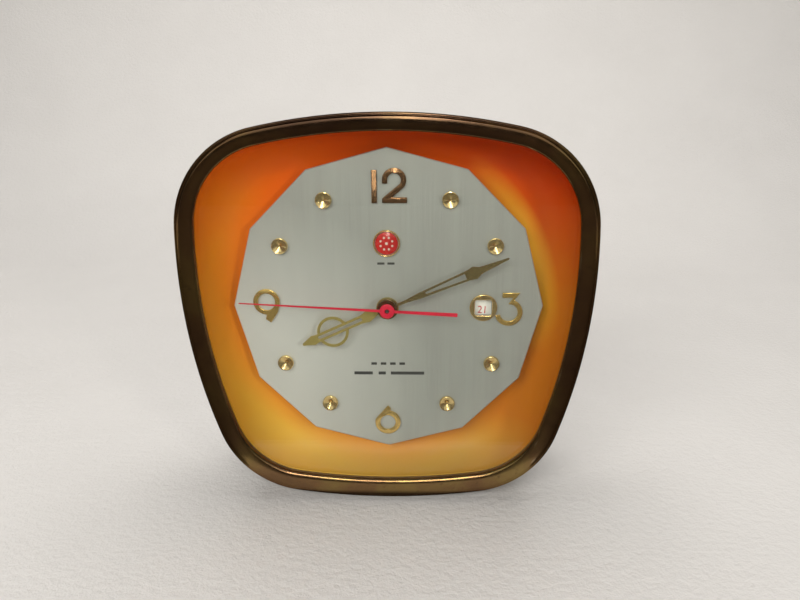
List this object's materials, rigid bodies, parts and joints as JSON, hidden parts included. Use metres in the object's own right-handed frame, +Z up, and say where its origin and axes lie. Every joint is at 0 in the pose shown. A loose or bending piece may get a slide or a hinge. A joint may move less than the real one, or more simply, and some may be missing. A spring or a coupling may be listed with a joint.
{
  "type": "desk clock",
  "caption": "Free-standing wind-up desk clock: rounded gilt bezel, amber surround, raised twelve-sided dial with calendar window, three hands, key and setting knobs at the back.",
  "frame": {"origin": "centre of the bounding box at the level of the table the clock stands on", "axes": "+X to the right of a person facing the dial, the dial faces -Y, +Z up"},
  "size_m": [0.18, 0.08, 0.1751],
  "materials": {
    "bezel_gilt": "gilt bronze lacquer on pressed metal, glossy, tarnished dark brown with olive-gold patches",
    "glass": "clear flat glass",
    "gasket_rubber": "matt dark gasket",
    "amber_lacquer": "glossy translucent amber lacquer over bright metal",
    "dial_satin": "fine vertical satin brushing, silver grey",
    "gilt": "gilt brass, polished with fine wear",
    "red_enamel": "glossy red enamel",
    "seconds_red": "crimson gloss paint",
    "date_white": "off-white, printed with red day numbers",
    "case_enamel": "dark brown stoved enamel, slightly textured",
    "knob_plastic": "dark moulded plastic",
    "key_brass": "plated pressed brass",
    "foot_rubber": "matt moulded feet",
    "steel": "bright steel",
    "brass": "brushed brass"
  },
  "bodies": {
    "case": {"bezel": "bezel_gilt", "glass": "glass", "glass_gasket": "gasket_rubber", "amber_surround": "amber_lacquer", "dial_plate": "dial_satin", "hour_stud_01": "gilt", "hour_stud_02": "gilt", "hour_stud_04": "gilt", "hour_stud_05": "gilt", "hour_stud_07": "gilt", "hour_stud_08": "gilt", "hour_stud_10": "gilt", "hour_stud_11": "gilt", "numeral_12_one": "gilt", "numeral_12_two": "gilt", "numeral_03": "gilt", "numeral_06": "gilt", "numeral_09": "gilt", "date_window_frame": "gilt", "badge_rim": "gilt", "badge_disc": "red_enamel", "case_shell": "case_enamel", "back_cover": "case_enamel", "cover_screw_1": "steel", "cover_screw_2": "steel", "foot_front_left": "foot_rubber", "foot_front_right": "foot_rubber", "foot_rear_left": "foot_rubber", "foot_rear_right": "foot_rubber", "front_plate": "brass", "back_plate": "brass", "pillar_1": "brass", "pillar_2": "brass", "pillar_3": "brass", "dial_foot_1": "brass", "dial_foot_2": "brass", "centre_bush": "brass", "hairspring": "steel"},
    "seconds_work": {"seconds_arbor": "brass", "seconds_hand": "seconds_red"},
    "centre_work": {"centre_wheel": "brass", "minute_hand": "gilt"},
    "hour_work": {"hour_wheel": "brass", "hour_hand": "gilt"},
    "motion_work": {"minute_wheel": "brass", "hand_setting_knob": "knob_plastic"},
    "third": {"third_wheel": "brass"},
    "barrel": {"mainspring_barrel": "brass", "mainspring": "steel"},
    "escape": {"escape_wheel": "brass"},
    "lever": {"pallet_lever": "steel"},
    "balance": {"balance_wheel": "brass"},
    "winding": {"winding_arbor": "steel", "ratchet_wheel": "steel", "winding_key": "key_brass"},
    "click": {"click": "steel"},
    "calendar": {"date_disc": "date_white"},
    "date_setting": {"date_setting_arbor": "brass", "date_setting_knob": "knob_plastic"},
    "regulator": {"regulator_lever": "brass"}
  },
  "joints": [
    {"name": "seconds_spin", "type": "hinge", "parent": "case", "child": "seconds_work", "pos_m": [0, -0.003, 0.0907], "axis": [0, 1, 0], "continuous": true},
    {"name": "minute_spin", "type": "hinge", "parent": "case", "child": "centre_work", "pos_m": [0, -0.003, 0.0907], "axis": [0, 1, 0], "continuous": true},
    {"name": "hour_spin", "type": "hinge", "parent": "case", "child": "hour_work", "pos_m": [0, -0.003, 0.0907], "axis": [0, 1, 0], "continuous": true},
    {"name": "hand_setting_spin", "type": "hinge", "parent": "case", "child": "motion_work", "pos_m": [0.01225, -0.003, 0.07845], "axis": [0, 1, 0], "continuous": true},
    {"name": "third_wheel_spin", "type": "hinge", "parent": "case", "child": "third", "pos_m": [0.0135, -0.003, 0.0975], "axis": [0, 1, 0], "continuous": true},
    {"name": "barrel_spin", "type": "hinge", "parent": "case", "child": "barrel", "pos_m": [-0.019, -0.003, 0.1037], "axis": [0, 1, 0], "continuous": true},
    {"name": "escape_spin", "type": "hinge", "parent": "case", "child": "escape", "pos_m": [-0.0044, -0.003, 0.0768], "axis": [0, 1, 0], "continuous": true},
    {"name": "pallet_rock", "type": "hinge", "parent": "case", "child": "lever", "pos_m": [0.004, -0.003, 0.0687], "axis": [0, 1, 0], "range_deg": [-4, 4]},
    {"name": "balance_swing", "type": "hinge", "parent": "case", "child": "balance", "pos_m": [0.014, -0.003, 0.0607], "axis": [0, 1, 0], "range_deg": [-135, 135], "stiffness_Nm_per_rad": 0.00003},
    {"name": "winding_turn", "type": "hinge", "parent": "case", "child": "winding", "pos_m": [-0.019, -0.003, 0.1037], "axis": [0, 1, 0], "range_deg": [0, 1800]},
    {"name": "click_lift", "type": "hinge", "parent": "case", "child": "click", "pos_m": [-0.0275, -0.003, 0.1137], "axis": [0, 1, 0], "range_deg": [0, 12], "stiffness_Nm_per_rad": 0.001},
    {"name": "date_spin", "type": "hinge", "parent": "case", "child": "calendar", "pos_m": [0, -0.003, 0.0907], "axis": [0, 1, 0], "continuous": true},
    {"name": "date_setting_spin", "type": "hinge", "parent": "case", "child": "date_setting", "pos_m": [0.0245, -0.003, 0.0864], "axis": [0, 1, 0], "continuous": true},
    {"name": "regulator_swing", "type": "hinge", "parent": "case", "child": "regulator", "pos_m": [0.014, -0.003, 0.0607], "axis": [0, 1, 0], "range_deg": [-15, 15]}
  ],
  "couplings": [
    {"joint": "minute_spin", "follows": "seconds_spin", "ratio": 0.016667},
    {"joint": "hour_spin", "follows": "seconds_spin", "ratio": 0.0013889},
    {"joint": "hand_setting_spin", "follows": "seconds_spin", "ratio": -0.0055556},
    {"joint": "third_wheel_spin", "follows": "seconds_spin", "ratio": -0.13333},
    {"joint": "barrel_spin", "follows": "seconds_spin", "ratio": -0.002381},
    {"joint": "escape_spin", "follows": "seconds_spin", "ratio": -8},
    {"joint": "date_setting_spin", "follows": "date_spin", "ratio": -3.875}
  ]
}
